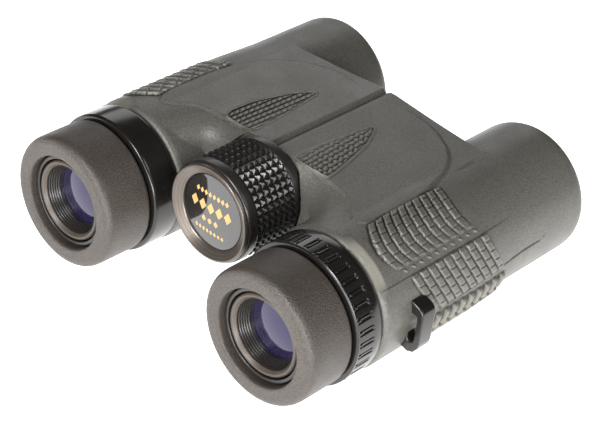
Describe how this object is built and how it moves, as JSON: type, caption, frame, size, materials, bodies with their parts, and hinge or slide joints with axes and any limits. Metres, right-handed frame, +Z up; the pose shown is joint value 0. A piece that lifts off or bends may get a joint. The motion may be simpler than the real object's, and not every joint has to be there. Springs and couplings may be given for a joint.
{
  "type": "binoculars",
  "caption": "Compact roof-prism binoculars with a folding hinge, central focus knob, twist-up eyecups, diopter ring, rubber armour and strap lugs.",
  "frame": {"origin": "under the middle of the binoculars, on the surface that both barrels lie on", "axes": "+Y from the eyecups to the objectives, +X to the right barrel, +Z up"},
  "size_m": [0.1156, 0.1056, 0.0421],
  "materials": {
    "armour_rubber": "matte, fine grain, warm grey",
    "cup_rubber": "matte charcoal, fine grain",
    "gloss_black": "gloss black",
    "black_plastic": "satin black",
    "chassis_plastic": "matte dark grey",
    "black_metal": "black anodised",
    "steel": "bright turned steel",
    "taupe_metal": "satin taupe",
    "coated_glass": "violet anti-reflection coating",
    "clear_glass": "polished"
  },
  "bodies": {
    "left_half": {"left_chassis": "chassis_plastic", "left_armour": "armour_rubber", "left_strap_lug": "black_plastic", "left_objective_cell": "black_metal", "left_objective_crown": "coated_glass", "left_objective_flint": "clear_glass", "left_objective_ring": "black_metal", "left_prism_cage": "black_plastic", "left_roof_prism": "clear_glass", "left_half_prism": "clear_glass", "left_eyepiece_tube": "black_metal", "left_eye_lens": "coated_glass", "left_eye_lens_ring": "taupe_metal", "left_field_cell": "black_metal", "left_field_lens": "clear_glass", "left_collar": "gloss_black", "hinge_tube": "steel", "hinge_washer": "steel", "hinge_nut": "steel", "hinge_end_cap": "black_plastic"},
    "right_half": {"right_chassis": "chassis_plastic", "right_armour": "armour_rubber", "right_strap_lug": "black_plastic", "right_objective_cell": "black_metal", "right_objective_crown": "coated_glass", "right_objective_flint": "clear_glass", "right_objective_ring": "black_metal", "right_prism_cage": "black_plastic", "right_roof_prism": "clear_glass", "right_half_prism": "clear_glass", "right_eyepiece_tube": "black_metal", "right_eye_lens": "coated_glass", "right_eye_lens_ring": "taupe_metal"},
    "focus_wheel": {"focus_knob": "gloss_black", "knob_grip": "cup_rubber", "knob_bezel": "steel", "knob_disc": "gloss_black", "focus_screw": "steel"},
    "focus_carriage": {"focus_spool": "black_metal"},
    "left_focus_group": {"left_focus_cell": "black_metal", "left_focus_lens": "clear_glass"},
    "right_focus_group": {"right_focus_cell": "black_metal", "right_focus_lens": "clear_glass"},
    "diopter_wheel": {"diopter_ring": "gloss_black"},
    "diopter_group": {"right_field_cell": "black_metal", "right_field_lens": "clear_glass"},
    "left_cup_guide": {"left_eyecup_guide": "black_plastic"},
    "left_cup": {"left_eyecup": "cup_rubber"},
    "right_cup_guide": {"right_eyecup_guide": "black_plastic"},
    "right_cup": {"right_eyecup": "cup_rubber"}
  },
  "joints": [
    {"name": "interpupillary_fold", "type": "hinge", "parent": "left_half", "child": "right_half", "pos_m": [0, 0.0072, 0.02824], "axis": [0, 1, 0], "range_deg": [0, 49]},
    {"name": "focus_turn", "type": "hinge", "parent": "left_half", "child": "focus_wheel", "pos_m": [0, -0.0248, 0.02824], "axis": [0, 1, 0], "range_deg": [-180, 180]},
    {"name": "focus_carriage_slide", "type": "slide", "parent": "left_half", "child": "focus_carriage", "axis": [0, 1, 0], "range_m": [-0.0022, 0.0022]},
    {"name": "left_focus_slide", "type": "slide", "parent": "left_half", "child": "left_focus_group", "axis": [0, 1, 0], "range_m": [-0.0022, 0.0022]},
    {"name": "right_focus_slide", "type": "slide", "parent": "right_half", "child": "right_focus_group", "axis": [0, 1, 0], "range_m": [-0.0022, 0.0022]},
    {"name": "diopter_turn", "type": "hinge", "parent": "right_half", "child": "diopter_wheel", "pos_m": [0.035, -0.0338, 0.01921], "axis": [0, 1, 0], "range_deg": [-35, 35]},
    {"name": "diopter_slide", "type": "slide", "parent": "right_half", "child": "diopter_group", "axis": [0, 1, 0], "range_m": [-0.0011, 0.0011]},
    {"name": "left_cup_turn", "type": "hinge", "parent": "left_half", "child": "left_cup_guide", "pos_m": [-0.035, -0.0438, 0.01921], "axis": [0, -1, 0], "range_deg": [0, 120]},
    {"name": "left_cup_rise", "type": "slide", "parent": "left_cup_guide", "child": "left_cup", "axis": [0, -1, 0], "range_m": [0, 0.0075]},
    {"name": "right_cup_turn", "type": "hinge", "parent": "right_half", "child": "right_cup_guide", "pos_m": [0.035, -0.0438, 0.01921], "axis": [0, -1, 0], "range_deg": [0, 120]},
    {"name": "right_cup_rise", "type": "slide", "parent": "right_cup_guide", "child": "right_cup", "axis": [0, -1, 0], "range_m": [0, 0.0075]}
  ],
  "couplings": [
    {"joint": "focus_carriage_slide", "follows": "focus_turn", "m_per_rad": 0.00070028},
    {"joint": "left_focus_slide", "follows": "focus_turn", "m_per_rad": 0.00070028},
    {"joint": "right_focus_slide", "follows": "focus_turn", "m_per_rad": 0.00070028},
    {"joint": "diopter_slide", "follows": "diopter_turn", "m_per_rad": 0.0018007},
    {"joint": "left_cup_rise", "follows": "left_cup_turn", "m_per_rad": 0.003581},
    {"joint": "right_cup_rise", "follows": "right_cup_turn", "m_per_rad": 0.003581}
  ]
}
